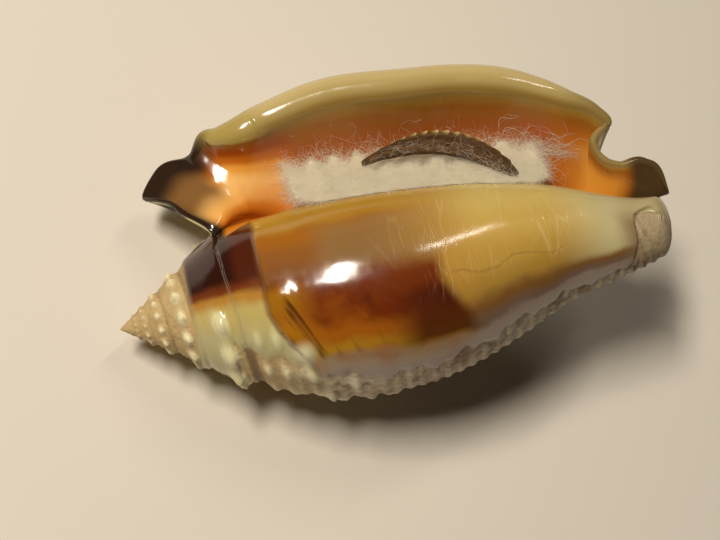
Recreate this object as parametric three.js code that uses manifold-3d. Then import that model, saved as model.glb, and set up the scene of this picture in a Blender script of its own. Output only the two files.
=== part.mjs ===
// A strombid conch lying on its back with the aperture up, cotton wool pushed into the aperture, and the
// horny sickle of its operculum lying on the cotton. Millimetres, +Z up, the table at z = 0.
// The shell is worked out in its own frame: +X along the coiling axis from the apex to the canal, +Z out of
// the aperture side, +Y toward the lip. Angles run round the axis the way the shell grew, from +Y to +Z.
import * as THREE from "three";
import Module from "manifold-3d";

const wasm = await Module();
wasm.setup();

const LENGTH = 70.6; // apex to the end of the canal, along the axis
const ATTACH = 13.3; // where the lip leaves the spire
const WHORL_RISE = 0.44; // natural log of the growth along the axis, per whorl
const WHORL_WIDEN = 0.43; // natural log of the growth in radius over the last whorl
const LAST_SUTURE = 12.14; // distance of the last suture from the apex at angle 0
const NODULES = 12.6; // nodules round a whorl of the spire
const KNOBS = 10; // knobs round the last whorl
const KNOB = 3.2; // height of the highest knob, on the back
const CALLUS = 0.45; // thickness of the glaze over the last whorl
const REST_PITCH = 18.925; // the canal end stands this much up, degrees
const REST_ROLL = -15.968; // the lip side hangs this much down, degrees
const REST_LIFT = 17; // first guess of the axis height, before the flats are cut
const FLAT_DEPTH = 0.3; // taken off the knobs that the shell rests on
const GAP = 0.35; // air between touching pieces

// Each row is a distance from the apex with the value there; values between rows run smoothly.
const RADIUS = [
  [0, 0], [4, 2.75], [9, 6.1], [14, 9.2], [19, 11.5], [25, 13], [34, 13.5],
  [44, 11.9], [50, 10], [56, 7.8], [62, 5.9], [67, 4.6], [71, 3.8],
];
// Sideways drift of the whorl's centre.
const DRIFT = [
  [0, 0], [14, 0], [25, -0.5], [38, -0.9], [48, -0.3], [56, 0.1], [62, -0.6], [67, -0.9], [71, -0.6],
];
// Angle at which the lip leaves the last whorl, degrees.
const LIP_START = [
  [13.3, 402], [15, 392], [18, 372], [23, 345], [28, 331], [60, 330], [64, 338], [70.6, 345],
];
// Middle line of the lip's rim: digit, shoulder, long outer edge, corner, notch, canal.
const RIM = [
  [13.3, 12.9, 7.4, 7.2], [13.8, 10.3, 10.5, 6.2], [14.1, 9.1, 12.8, 5.6], [14.4, 7.6, 14, 5],
  [14.9, 6, 15.4, 4], [15.5, 8.1, 18, 5], [16.8, 12.2, 17.9, 6.5], [17.3, 13.2, 17.9, 7.1],
  [17.9, 14.6, 19.3, 8], [18.7, 16.2, 18.9, 8.5], [24.5, 22.8, 19.7, 9.6], [30, 28.9, 20.7, 10.1],
  [41, 40.1, 19.9, 10.5], [47, 46.8, 19.2, 10.3], [54, 54.8, 16.7, 9.7], [57.6, 59.6, 14.3, 8.7],
  [59.4, 63.2, 12.5, 7.3], [60.1, 64.4, 11.3, 6.4], [60.7, 63.3, 10.7, 5.8], [61.4, 62.5, 9.9, 5.1],
  [62.3, 62.6, 8.7, 4.3], [63.6, 63.5, 7.4, 3.6], [65.2, 65, 6.7, 3.1], [68.4, 68.6, 6.8, 2.4],
  [69.8, 70.3, 5.6, 1.4], [70.6, 70.9, 3.2, 0],
];
const LIP_THICK = [
  [13.3, 0.35], [14.5, 0.6], [16, 0.9], [18, 1.6], [20, 2.3], [40, 2.5], [55, 2.1], [60, 1.6],
  [66, 1.3], [70.6, 1.1],
];
const RIM_THICK = [
  [13.3, 0.5], [15.2, 0.6], [16.5, 0.9], [18, 2.2], [19.5, 3.4], [25, 4.2], [45, 4.3], [54, 3.9],
  [57.8, 2.9], [60, 1.7], [61, 1.2], [64.5, 1.2], [69, 1.2], [70.6, 0.9],
];
// Slope of the lip at its rim, degrees from flat.
const RIM_SLOPE = [
  [13.3, 40], [15, 30], [18.8, 62], [33, 74], [50, 72], [58, 60], [61.4, 36], [65, 40], [70.6, 60],
];
// Share of the radius that the columella side is worn in.
const COLUMELLA_CUT = [
  [0, 0], [18, 0], [26, 0.02], [40, 0.02], [52, 0.04], [60, 0.14], [66, 0.26], [71, 0.3],
];
// Edge of the glaze on the front, degrees.
const GLAZE_EDGE = [
  [8.6, 40], [9.1, 100], [10.5, 132], [13, 148], [17, 158], [22, 170], [30, 177], [40, 175], [50, 172],
  [60, 176], [63.5, 170], [65.5, 140], [66.8, 112], [68, 95], [71, 85],
];
// Pull-back of the anterior end, by share of the way from the crest round the outside to the rim.
const END_CUT = [
  [0, 3.6], [0.16, 1.6], [0.34, 0.6], [0.46, 1.4], [0.56, 3.4], [0.64, 3.2], [0.76, 0.4], [1, 0],
];
// Station numbers, by share of all the stations.
const STATIONS = [
  [0, 0], [0.015, 0.6], [0.06, 2], [0.33, 13], [0.46, 18.6], [0.65, 33], [0.77, 57],
  [0.8, 59], [0.92, 64], [1, 70.6],
];
const STATION_COUNT = 65;
const [OUTSIDE, FLOOR, LIP, CAP] = [27, 4, 6, 4]; // points round each part of a section
const CREST = rad(95);

function rad(degrees) {
  return (degrees * Math.PI) / 180;
}
const ramp = (x, low, high) => THREE.MathUtils.smoothstep(x, low, high);

// Smooth curve through rows of [place, value, ...]; gives a number, or a list for rows with more values.
function along(rows, place) {
  const last = rows.length - 1;
  const x = THREE.MathUtils.clamp(place, rows[0][0], rows[last][0]);
  let i = 0;
  while (i < last - 1 && x >= rows[i + 1][0]) i++;
  const step = (j) => rows[j + 1][0] - rows[j][0];
  const slope = (j, k) => (rows[j + 1][k] - rows[j][k]) / step(j);
  const tangent = (j, k) => {
    if (j === 0) return slope(0, k);
    if (j === last) return slope(last - 1, k);
    return (slope(j - 1, k) * step(j) + slope(j, k) * step(j - 1)) / (step(j - 1) + step(j));
  };
  const w = step(i);
  const t = (x - rows[i][0]) / w;
  const values = rows[i].slice(1).map((y, n) => {
    const k = n + 1;
    return (
      y * (1 + 2 * t) * (1 - t) ** 2 +
      tangent(i, k) * w * t * (1 - t) ** 2 +
      rows[i + 1][k] * t * t * (3 - 2 * t) +
      tangent(i + 1, k) * w * t * t * (t - 1)
    );
  });
  return values.length === 1 ? values[0] : values;
}

const bump = (x, middle, width) => Math.exp(-(((x - middle) / width) ** 2));

// Radius of the whorl's smooth outside.
function radius(a, angle) {
  const widen = WHORL_WIDEN * ramp(a, 11, 22);
  return along(RADIUS, a) * Math.exp((widen * (angle - rad(210))) / (2 * Math.PI));
}

function columella(a, angle) {
  const cut = along(COLUMELLA_CUT, a) * (1 - ramp(angle, rad(365), rad(440)));
  return radius(a, angle - 2 * Math.PI) * (1 - cut);
}

function glaze(a, angle) {
  return ramp(rad(along(GLAZE_EDGE, a)) - angle, -0.02, 0.1) * ramp(a, 8.6, 9.4);
}

// Nodules, sutures, knobs and lesser rows of beads, as height over the smooth whorl.
function sculpture(a, angle) {
  const risen = (WHORL_RISE * angle) / (2 * Math.PI);
  const whorl = (Math.log(Math.max(a, 0.05) / LAST_SUTURE) - risen) / WHORL_RISE;
  const down = whorl - Math.floor(whorl);
  const grown = angle + 2 * Math.PI * Math.floor(whorl);
  const wave = (1 + Math.cos(NODULES * grown)) / 2;
  const size = Math.min(a, 20);
  const suture = -0.028 * size * (bump(down, 0, 0.09) + (whorl > 0 ? 0 : bump(down, 1, 0.07)));
  if (whorl <= 0) {
    return suture + size * bump(down, 0.6, 0.15) * (0.02 + 0.1 * wave ** 1.6);
  }
  const back = ramp(angle, rad(150), rad(285));
  const early = 1 - ramp(angle, rad(205), rad(235));
  const slow = ((1 + Math.cos(KNOBS * (angle - rad(270)))) / 2) ** 1.6;
  const knob =
    (0.8 + (KNOB - 0.8) * bump(angle, rad(290), rad(42))) *
    bump(whorl, 0.8 + 0.5 * back, 0.14 - 0.03 * back) *
    (slow * (1 - early) + wave ** 1.5 * early);
  const second = (0.5 + 0.5 * back) * bump(whorl, 1.2 + 0.32 * back, 0.075) * wave ** 1.3;
  const third = (0.35 + 0.35 * back) * bump(whorl, 1.42 + 0.31 * back, 0.06) * wave ** 1.2;
  return knob + second + third + (whorl < 0.5 ? suture : 0);
}

function round(a, r, angle) {
  return new THREE.Vector3(a, along(DRIFT, a) + r * Math.cos(angle), r * Math.sin(angle));
}

// The lip's middle surface is a bowed strip from its start on the whorl to its rim.
function lipPoint(a, v) {
  const start = rad(along(LIP_START, a));
  const rim = new THREE.Vector3(...along(RIM, a));
  const slope = rad(along(RIM_SLOPE, a));
  const from = round(a, radius(a, start) - along(LIP_THICK, a) / 2, start);
  const span = rim.distanceTo(from);
  const onward = new THREE.Vector3(0, -Math.sin(start), Math.cos(start));
  const first = from.clone().addScaledVector(onward, 0.36 * span);
  // the digit and the wall of the notch are straight; elsewhere the lip meets its rim at the slope
  const straight = 1 - ramp(a, 16, 19.5) * (1 - ramp(a, 57, 59.5) * (1 - ramp(a, 63, 66)));
  const rise = new THREE.Vector3(0, Math.cos(slope), Math.sin(slope));
  rise.lerp(rim.clone().sub(from).normalize(), straight);
  const second = rim.clone().addScaledVector(rise, -0.3 * span);
  // the wall under the corner is drawn in
  first.x += (rim.x - a) * 0.7 * ramp(a, 56, 59.5) - 1.3 * bump(a, 60.1, 0.9);
  second.x -= bump(a, 60.1, 0.9);
  const line = new THREE.CubicBezierCurve3(from, first, second, rim);
  return { at: line.getPoint(v), run: line.getTangent(v) };
}

// Point, outward normal, direction of the rim and half thickness of the lip at share v of its width.
function lip(a, v) {
  const { at, run } = lipPoint(a, v);
  const step = 0.35;
  const low = Math.max(a - step, ATTACH);
  const high = Math.min(a + step, LENGTH);
  const length = lipPoint(high, v).at.sub(lipPoint(low, v).at);
  const normal = run.clone().cross(length).normalize();
  const out = length.cross(normal).normalize();
  if (out.dot(run) < 0) out.negate();
  const thick = THREE.MathUtils.lerp(along(LIP_THICK, a), along(RIM_THICK, a), v ** 1.6);
  return { at, normal, out, half: thick / 2 };
}

// One closed section: outside of the whorl, outside of the lip, rim, inside of the lip, floor and
// columella wall.
function section(a) {
  const start = rad(along(LIP_START, a));
  const open = ramp(a, ATTACH - 0.3, ATTACH + 0.5);
  const inside = OUTSIDE - FLOOR - 1;
  const total = OUTSIDE + 2 * LIP + 1 + CAP + FLOOR + inside;
  // on the spire the points spread evenly round the whorl
  const even = 1 - ramp(a, 5, 12.5);
  const turn = THREE.MathUtils.lerp(start, CREST + (2 * Math.PI * (OUTSIDE - 1)) / total, even);
  const crowd = THREE.MathUtils.lerp(0.84, 1, even);
  const points = [];
  for (let i = 0; i < OUTSIDE; i++) {
    const angle = CREST + (turn - CREST) * (i / (OUTSIDE - 1)) ** crowd;
    const shut = 1 - ramp(a, 12.8, 13.5);
    const g = Math.max(glaze(a, angle), glaze(a, angle - 2 * Math.PI) * shut);
    const bare = 1 - ramp(angle, rad(325), rad(350)) * ramp(a, 12.5, 13.2);
    points.push(round(a, radius(a, angle) + sculpture(a, angle) * (1 - g) * bare + CALLUS * g, angle));
  }
  const thick = along(LIP_THICK, a);
  const outer = radius(a, start);
  const leaf = Array.from({ length: LIP + 1 }, (_, i) => lip(a, i / LIP));
  // a face of the lip, side 1 outside and -1 inside, eased at its root onto the point where it starts
  const face = (i, side, root) => {
    const on = ({ at, normal, half }) => at.clone().addScaledVector(normal, side * half);
    return on(leaf[i]).addScaledVector(root.clone().sub(on(leaf[0])), (1 - i / LIP) ** 3);
  };
  const rest = [];
  const outerRoot = points[OUTSIDE - 1].clone();
  for (let i = 1; i <= LIP; i++) rest.push(face(i, 1, outerRoot));
  for (let i = 1; i <= CAP; i++) {
    const bend = Math.PI / 2 - (Math.PI * i) / (CAP + 1);
    const { at, normal, out, half } = leaf[LIP];
    const raised = at.clone().addScaledVector(normal, half * Math.sin(bend));
    rest.push(raised.addScaledVector(out, half * Math.cos(bend)));
  }
  const innerRoot = round(a, outer - thick, start);
  for (let i = LIP; i >= 0; i--) rest.push(face(i, -1, innerRoot));
  const wall0 = columella(a, start);
  const gap = outer - thick - wall0;
  for (let i = 1; i <= FLOOR; i++) {
    const t = (Math.PI * i) / (FLOOR + 1);
    const r = (outer - thick + wall0) / 2 + (gap / 2) * Math.cos(t);
    rest.push(round(a, r, start - (Math.sin(t) * Math.min(gap / 2, 2.5)) / Math.max(r, 1)));
  }
  for (let i = 0; i < inside; i++) {
    const angle = start + ((CREST + 2 * Math.PI - start) * i) / inside;
    rest.push(round(a, columella(a, angle) + CALLUS * glaze(a, angle - 2 * Math.PI), angle));
  }
  // before the lip leaves the spire, the same points lie on the whorl
  rest.forEach((point, n) => {
    const w = (n + 1) / (rest.length + 1);
    const angle = turn + (CREST + 2 * Math.PI - turn) * w;
    const g = glaze(a, angle - 2 * Math.PI);
    const r = radius(a, angle) * (1 - w) + radius(a, angle - 2 * Math.PI) * w;
    points.push(round(a, r + sculpture(a, angle) * (1 - g) + CALLUS * g, angle).lerp(point, open));
  });
  // the anterior end is notched between the canal and the columella, and closes in a round edge
  const count = points.length;
  points.forEach((point, n) => {
    point.x -= along(END_CUT, Math.min(n, count - n) / (count / 2)) * ramp(a, 58, LENGTH);
  });
  const near = THREE.MathUtils.clamp((a - LENGTH + 1.6) / 1.6, 0, 1);
  return closing(points, Math.sqrt(1 - near * near));
}

// Brings each point of a loop toward its partner across the loop's line from point 0.
function closing(points, open) {
  const count = points.length;
  return points.map((point, n) => {
    const partner = points[(count - n) % count];
    const middle = point.clone().add(partner).multiplyScalar(0.5);
    return middle.lerp(point, open);
  });
}

// A closed solid through loops of points; the first and last loops are zipped shut.
function loft(loops, placed) {
  const key = new Map();
  const vertices = [];
  const faces = [];
  const index = (point) => {
    const p = point.clone().applyMatrix4(placed);
    const name = p.toArray().map((x) => Math.round(x * 1e4)).join();
    if (!key.has(name)) {
      key.set(name, vertices.length / 3);
      vertices.push(...p.toArray());
    }
    return key.get(name);
  };
  const face = (a, b, c) => {
    if (a !== b && b !== c && c !== a) faces.push(a, b, c);
  };
  const grid = loops.map((loop) => loop.map(index));
  for (let i = 0; i + 1 < grid.length; i++) {
    for (let j = 0; j < grid[i].length; j++) {
      const k = (j + 1) % grid[i].length;
      const [p, q, r, s] = [grid[i][j], grid[i + 1][j], grid[i + 1][k], grid[i][k]];
      face(p, s, r);
      face(p, r, q);
    }
  }
  const mesh = new wasm.Mesh({
    numProp: 3,
    vertProperties: new Float32Array(vertices),
    triVerts: new Uint32Array(faces),
  });
  const made = new wasm.Manifold(mesh);
  if (made.volume() > 0) return made;
  mesh.triVerts = new Uint32Array(faces.map((_, i) => faces[i % 3 === 0 ? i : i % 3 === 1 ? i + 1 : i - 1]));
  return new wasm.Manifold(mesh);
}

// The wad of cotton follows the inside of the lip and the columella wall, with a lumpy top between them.
const COTTON = { from: 24, to: 55.3, onLip: 0.6, deep: 0.16, onWall: 412 };
const COTTON_RISE = [[24, 0.1], [30, 0.3], [38, 0.3], [48, 0.2], [54, 0.2], [58, 0.1]];
function cottonLoop(share) {
  const { from, to, onLip, deep, onWall } = COTTON;
  const a = THREE.MathUtils.lerp(from, to, share);
  const start = rad(along(LIP_START, a));
  const wall = (angle) => round(a, columella(a, angle) + CALLUS * glaze(a, angle - 2 * Math.PI) + GAP, angle);
  const edge = (v) => {
    const { at, normal, half } = lip(a, v);
    return at.clone().addScaledVector(normal, -half - GAP);
  };
  const width = 0.93 + 0.07 * Math.sin(2.1 * a);
  const [lipTop, wallTop] = [edge(onLip * width), wall(rad(onWall))];
  const top = (f) => {
    const lumps = 0.25 * Math.sin(1.3 * a + 5 * f) + 0.2 * Math.sin(2.9 * a - 7 * f);
    const point = lipTop.clone().lerp(wallTop, f);
    point.z += 4 * f * (1 - f) * (along(COTTON_RISE, a) + lumps);
    return point;
  };
  const [lipSide, wallSide] = [[top(0.4), top(0.2), lipTop], [top(0.6), top(0.8), wallTop]];
  for (let i = 1; i <= 4; i++) {
    lipSide.push(edge(THREE.MathUtils.lerp(onLip * width, deep, i / 4)));
    wallSide.push(wall(rad(THREE.MathUtils.lerp(onWall, THREE.MathUtils.radToDeg(start) + 14, i / 4))));
  }
  const near = 2 * share - 1;
  const points = [top(0.5), ...lipSide, ...wallSide.reverse()];
  return closing(points, Math.sqrt(Math.max(0, 1 - near ** 8)));
}

// The operculum is a flat sickle, thick in the middle and thin at its edges, with a saw on its long
// outer edge.
const SICKLE = { length: 19, bow: 3.5, wide: 3.1, thick: 0.9, teeth: 13, tooth: 0.5 };
const SICKLE_AT = new THREE.Vector3(42.8, 10.8, 7.2);
const SICKLE_TURN = new THREE.Euler(rad(-4), rad(2), rad(-17), "XYZ");
function sickleLoop(i, count) {
  const s = (2 * i) / count - 1;
  const x = (s * SICKLE.length) / 2;
  const middle = SICKLE.bow * (0.45 - s * s);
  const half = (SICKLE.wide / 2) * Math.sqrt(Math.max(0, 1 - s ** 4)) * (1 - 0.25 * s);
  const saw = i % 2 === 0 && Math.abs(s) < 0.9 ? SICKLE.tooth : 0;
  const thick = (SICKLE.thick / 2) * Math.min(1, half * 1.5);
  const lift = 0.5 - 0.7 * s * s;
  const at = (y, z) => new THREE.Vector3(x + (y > 0 ? 0.25 * saw : 0), middle + y, z + lift);
  return [
    at(half + saw, 0), at(half * 0.45, thick), at(-half * 0.45, thick * 0.9),
    at(-half, 0), at(-half * 0.45, -thick * 0.9), at(half * 0.45, -thick),
  ];
}

const lying = new THREE.Matrix4()
  .makeTranslation(0, 0, REST_LIFT)
  .multiply(new THREE.Matrix4().makeRotationY(rad(-REST_PITCH)))
  .multiply(new THREE.Matrix4().makeRotationX(rad(REST_ROLL)));

const stations = Array.from({ length: STATION_COUNT }, (_, i) => {
  const share = i / (STATION_COUNT - 1);
  const k = STATIONS.findIndex(([place]) => place >= share) || 1;
  const [[s0, a0], [s1, a1]] = [STATIONS[k - 1], STATIONS[k]];
  return a0 + ((a1 - a0) * (share - s0)) / (s1 - s0);
});
const shellSolid = loft(stations.map(section), lying);
const cottonSolid = loft(Array.from({ length: 19 }, (_, i) => cottonLoop(i / 18)), lying);
const sickle = new THREE.Matrix4().compose(
  SICKLE_AT, new THREE.Quaternion().setFromEuler(SICKLE_TURN), new THREE.Vector3(1, 1, 1),
);
const teeth = 2 * SICKLE.teeth + 2;
const operculumSolid = loft(
  Array.from({ length: teeth + 1 }, (_, i) => sickleLoop(i, teeth)),
  lying.clone().multiply(sickle),
);

// A large box under the table takes the flats off the knobs.
function below(height) {
  const box = new THREE.BoxGeometry(300, 300, 60).translate(0, 0, height - 30);
  const { attributes: { position }, index } = box;
  const key = new Map();
  const vertices = [];
  const order = Array.from({ length: position.count }, (_, i) => {
    const p = [position.getX(i), position.getY(i), position.getZ(i)];
    const name = p.join();
    if (!key.has(name)) {
      key.set(name, vertices.length / 3);
      vertices.push(...p);
    }
    return key.get(name);
  });
  const triVerts = new Uint32Array(Array.from(index.array, (i) => order[i]));
  const vertProperties = new Float32Array(vertices);
  return new wasm.Manifold(new wasm.Mesh({ numProp: 3, vertProperties, triVerts }));
}

const floorHeight = shellSolid.boundingBox().min[2] + FLAT_DEPTH;
const flatShell = shellSolid.subtract(below(floorHeight));
const bounds = flatShell.boundingBox();
const shift = new THREE.Vector3(
  -(bounds.min[0] + bounds.max[0]) / 2,
  -(bounds.min[1] + bounds.max[1]) / 2,
  -floorHeight,
);

function meshOf(name, solid, colour, roughness) {
  const { numProp, numVert, vertProperties, triVerts } = solid.getMesh();
  const xyz = new Float32Array(numVert * 3);
  for (let i = 0; i < numVert; i++) xyz.set(vertProperties.subarray(i * numProp, i * numProp + 3), i * 3);
  const geometry = new THREE.BufferGeometry()
    .setAttribute("position", new THREE.BufferAttribute(xyz, 3))
    .setIndex(new THREE.BufferAttribute(triVerts, 1));
  geometry.translate(shift.x, shift.y, shift.z);
  geometry.computeVertexNormals();
  const look = new THREE.MeshStandardMaterial({ color: colour, roughness, metalness: 0 });
  const mesh = new THREE.Mesh(geometry, look);
  mesh.name = name;
  return mesh;
}

const conch = new THREE.Group();
conch.add(
  meshOf("shell", flatShell, "#c8a468", 0.3),
  meshOf("cotton", cottonSolid, "#eee6d6", 0.95),
  meshOf("operculum", operculumSolid, "#4a2c18", 0.55),
);
export default conch;
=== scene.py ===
"""Strombid conch lying on its back, with cotton wool in its aperture and its operculum on the cotton."""
import math
from functools import partial
from types import SimpleNamespace

import bpy
import numpy as np
from mathutils import Euler, Matrix, Quaternion, Vector


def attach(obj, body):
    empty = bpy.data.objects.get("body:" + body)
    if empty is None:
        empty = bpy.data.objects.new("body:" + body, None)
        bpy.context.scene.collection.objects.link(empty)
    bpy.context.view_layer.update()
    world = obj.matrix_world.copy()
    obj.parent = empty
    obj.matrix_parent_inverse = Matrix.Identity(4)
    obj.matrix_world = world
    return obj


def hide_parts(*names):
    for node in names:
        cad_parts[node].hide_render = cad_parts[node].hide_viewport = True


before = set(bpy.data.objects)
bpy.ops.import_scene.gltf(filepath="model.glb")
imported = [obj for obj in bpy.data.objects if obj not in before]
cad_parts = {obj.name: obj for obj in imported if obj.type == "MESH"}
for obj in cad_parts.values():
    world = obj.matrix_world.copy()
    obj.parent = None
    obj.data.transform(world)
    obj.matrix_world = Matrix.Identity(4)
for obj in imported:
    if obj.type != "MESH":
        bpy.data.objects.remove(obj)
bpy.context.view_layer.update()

bl_info = {
    "name": "Strombid conch",
    "version": (1, 0, 0),
    "blender": (4, 5, 0),
    "location": "3D View > Sidebar > Conch",
    "description": "Builds a conch with its glaze, cotton wool and operculum over the packed solids",
    "category": "Object",
}

# The shell's own frame in millimetres: +X from the apex to the canal, +Z out of the aperture, +Y to the lip.
LENGTH = 70.6
ATTACH = 13.3
WHORL_RISE = 0.44
WHORL_WIDEN = 0.43
LAST_SUTURE = 12.14
NODULES = 12.6
KNOBS = 10
KNOB = 3.2
SPIRE_THREADS = 9
CORDS = 34
CALLUS = 0.45
REST_PITCH = 18.925
REST_ROLL = -15.968
APEX = np.array([-33.842, -5.418, 5.578])  # where the apex lies over the table
CREST = math.radians(95)

RADIUS = [
    (0, 0), (4, 2.75), (9, 6.1), (14, 9.2), (19, 11.5), (25, 13), (34, 13.5),
    (44, 11.9), (50, 10), (56, 7.8), (62, 5.9), (67, 4.6), (71, 3.8),
]
DRIFT = [(0, 0), (14, 0), (25, -0.5), (38, -0.9), (48, -0.3), (56, 0.1), (62, -0.6), (67, -0.9), (71, -0.6)]
LIP_START = [(13.3, 402), (15, 392), (18, 372), (23, 345), (28, 331), (60, 330), (64, 338), (70.6, 345)]
RIM = [
    (13.3, 12.9, 7.4, 7.2), (13.8, 10.3, 10.5, 6.2), (14.1, 9.1, 12.8, 5.6), (14.4, 7.6, 14, 5),
    (14.9, 6, 15.4, 4),
    (15.5, 8.1, 18, 5), (16.8, 12.2, 17.9, 6.5), (17.3, 13.2, 17.9, 7.1), (17.9, 14.6, 19.3, 8),
    (18.7, 16.2, 18.9, 8.5),
    (24.5, 22.8, 19.7, 9.6), (30, 28.9, 20.7, 10.1), (41, 40.1, 19.9, 10.5), (47, 46.8, 19.2, 10.3),
    (54, 54.8, 16.7, 9.7), (57.6, 59.6, 14.3, 8.7), (59.4, 63.2, 12.5, 7.3), (60.1, 64.4, 11.3, 6.4),
    (60.7, 63.3, 10.7, 5.8), (61.4, 62.5, 9.9, 5.1), (62.3, 62.6, 8.7, 4.3), (63.6, 63.5, 7.4, 3.6),
    (65.2, 65, 6.7, 3.1), (68.4, 68.6, 6.8, 2.4), (69.8, 70.3, 5.6, 1.4), (70.6, 70.9, 3.2, 0),
]
LIP_THICK = [
    (13.3, 0.35), (14.5, 0.6), (16, 0.9), (18, 1.6), (20, 2.3), (40, 2.5), (55, 2.1), (60, 1.6), (66, 1.3),
    (70.6, 1.1),
]
RIM_THICK = [
    (13.3, 0.5), (15.2, 0.6), (16.5, 0.9), (18, 2.2), (19.5, 3.4), (25, 4.2), (45, 4.3), (54, 3.9),
    (57.8, 2.9), (60, 1.7), (61, 1.2), (64.5, 1.2), (69, 1.2), (70.6, 0.9),
]
RIM_SLOPE = [(13.3, 40), (15, 30), (18.8, 62), (33, 74), (50, 72), (58, 60), (61.4, 36), (65, 40), (70.6, 60)]
COLUMELLA_CUT = [(0, 0), (18, 0), (26, 0.02), (40, 0.02), (52, 0.04), (60, 0.14), (66, 0.26), (71, 0.3)]
GLAZE_EDGE = [
    (8.6, 40), (9.1, 100), (10.5, 132), (13, 148), (17, 158), (22, 170), (30, 177), (40, 175), (50, 172),
    (60, 176), (63.5, 170), (65.5, 140), (66.8, 112), (68, 95), (71, 85),
]
END_CUT = [(0, 3.6), (0.16, 1.6), (0.34, 0.6), (0.46, 1.4), (0.56, 3.4), (0.64, 3.2), (0.76, 0.4), (1, 0)]
STATIONS = [(0, 0), (0.02, 0.5), (0.24, 13), (0.38, 19), (0.7, 57), (0.74, 59), (0.88, 64), (1, 70.6)]
RIM_POINTS = 15
WELD = 1e-6

# colours of the shell's back, spire and lip
BACK_FLECK, BACK_CORD, BACK_GROOVE = (0.17, 0.10, 0.055), (0.76, 0.69, 0.50), (0.20, 0.12, 0.06)
SPIRE_GROUND, SPIRE_NODULE = (0.55, 0.39, 0.17), (0.86, 0.77, 0.47)
SPIRE_FLECK, SPIRE_SUTURE = (0.34, 0.20, 0.07), (0.17, 0.09, 0.035)
FRONT_END, FRONT_END_FLECK = (0.40, 0.30, 0.17), (0.23, 0.15, 0.075)
LIP_BACK, LIP_BLOTCH = (0.60, 0.50, 0.30), (0.33, 0.20, 0.09)
DARK_BROWN, CANAL_BROWN, CANAL_RIM = (0.030, 0.016, 0.009), (0.075, 0.042, 0.014), (0.10, 0.06, 0.022)
RIM_OLIVE, RIM_BROWN = (0.42, 0.31, 0.085), (0.26, 0.17, 0.05)
DIGIT_FOOT, CORNER_RED, THROAT = (0.23, 0.11, 0.032), (0.40, 0.075, 0.004), (0.80, 0.36, 0.045)

# colours of the glaze: stops are degrees round the whorl, or shares up the lip and over its rim
EARLY_RED, GLAZED_NODULE, GLAZED_SUTURE = (0.085, 0.016, 0.005), (0.78, 0.72, 0.42), (0.30, 0.25, 0.18)
MIST, GOLDEN, EMBER = (0.27, 0.17, 0.065), (0.40, 0.17, 0.008), (0.33, 0.09, 0.006)
STREAK, DEEPEST, STEP_LINE = (0.045, 0.012, 0.005), (0.070, 0.012, 0.004), (0.12, 0.045, 0.015)
PALE_CREAM, AMBER, CANAL_TAN = (0.55, 0.47, 0.24), (0.44, 0.21, 0.035), (0.24, 0.15, 0.075)
KNOB_WHITE, PALE_CRACK, DARK_CRACK = (0.76, 0.71, 0.44), (0.80, 0.66, 0.34), (0.30, 0.17, 0.035)
EARLY_STOPS = [
    (50, (0.060, 0.022, 0.012)), (70, (0.030, 0.008, 0.005)), (98, (0.030, 0.007, 0.004)),
    (107, (0.16, 0.035, 0.008)), (114, (0.46, 0.22, 0.035)), (124, (0.55, 0.43, 0.14)),
    (150, (0.52, 0.46, 0.22)),
]
MIDDLE_STOPS = [
    (56, (0.46, 0.26, 0.03)), (70, (0.42, 0.21, 0.025)), (80, (0.36, 0.125, 0.012)),
    (94, (0.27, 0.10, 0.020)), (107, (0.22, 0.08, 0.020)), (115, (0.16, 0.030, 0.005)),
    (134, (0.155, 0.024, 0.003)), (144, (0.38, 0.11, 0.006)), (153, (0.46, 0.23, 0.015)),
    (160, (0.34, 0.23, 0.13)), (172, (0.34, 0.27, 0.22)),
]
CREAM_STOPS = [
    (56, (0.62, 0.47, 0.15)), (76, (0.62, 0.45, 0.13)), (100, (0.58, 0.38, 0.09)),
    (122, (0.50, 0.30, 0.055)), (136, (0.42, 0.24, 0.040)), (147, (0.22, 0.10, 0.025)),
    (154, (0.20, 0.12, 0.075)), (162, (0.36, 0.27, 0.22)), (176, (0.37, 0.30, 0.25)),
]
INSIDE_STOPS = [
    (0.0, (0.34, 0.09, 0.012)), (0.45, (0.46, 0.13, 0.014)), (0.70, (0.36, 0.085, 0.008)),
    (0.86, (0.34, 0.11, 0.010)), (0.93, (0.36, 0.17, 0.026)), (1.0, (0.40, 0.27, 0.06)),
]
# hind part of the lip's inside: its own orange with painted light, a bright salmon band where the lamp falls
HIND_ORANGE_AND_PAINTED_LIGHT_STOPS = [
    (0.0, (0.66, 0.22, 0.016)), (0.15, (0.82, 0.30, 0.03)), (0.26, (0.90, 0.46, 0.12)),
    (0.44, (0.92, 0.52, 0.16)), (0.58, (0.80, 0.34, 0.05)), (0.68, (0.50, 0.13, 0.010)),
    (0.80, (0.30, 0.055, 0.004)), (0.95, (0.27, 0.10, 0.015)),
]
RIM_STOPS = [
    (0.0, (0.60, 0.48, 0.22)), (0.5, (0.58, 0.45, 0.20)), (0.80, (0.42, 0.31, 0.11)),
    (1.0, (0.31, 0.19, 0.045)),
]
WHITE_KNOB = {"station": 21.0, "turned": 154.0}

# cotton wool: stations along the shell, shares up the lip, degrees round the wall
COTTON = {"from": 24, "to": 55.3, "lip": 0.6, "deep": 0.16, "wall": 414}
COTTON_RISE = [(24, 0.1), (30, 0.3), (38, 0.3), (48, 0.2), (54, 0.2), (58, 0.1)]
COTTON_LIGHT, COTTON_STAIN = (0.96, 0.87, 0.64), (0.93, 0.77, 0.47)
GAP = 0.12
LOOSE = 0.05
SEED = 7
CURL_POINTS = 7
END_STRAYS, BORDER_STRAYS = 22, 24
LONG_STRAYS = (
    [(54.2, 0.70), (54.9, 0.64), (55.9, 0.575), (55.6, 0.53), (55.4, 0.49)],
    [(55.9, 0.575), (56.5, 0.63), (57.2, 0.66), (57.8, 0.71), (57.9, 0.76), (57.6, 0.83)],
    [(52.0, 0.66), (53.0, 0.70), (54.0, 0.66), (55.2, 0.68)],
)

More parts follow.
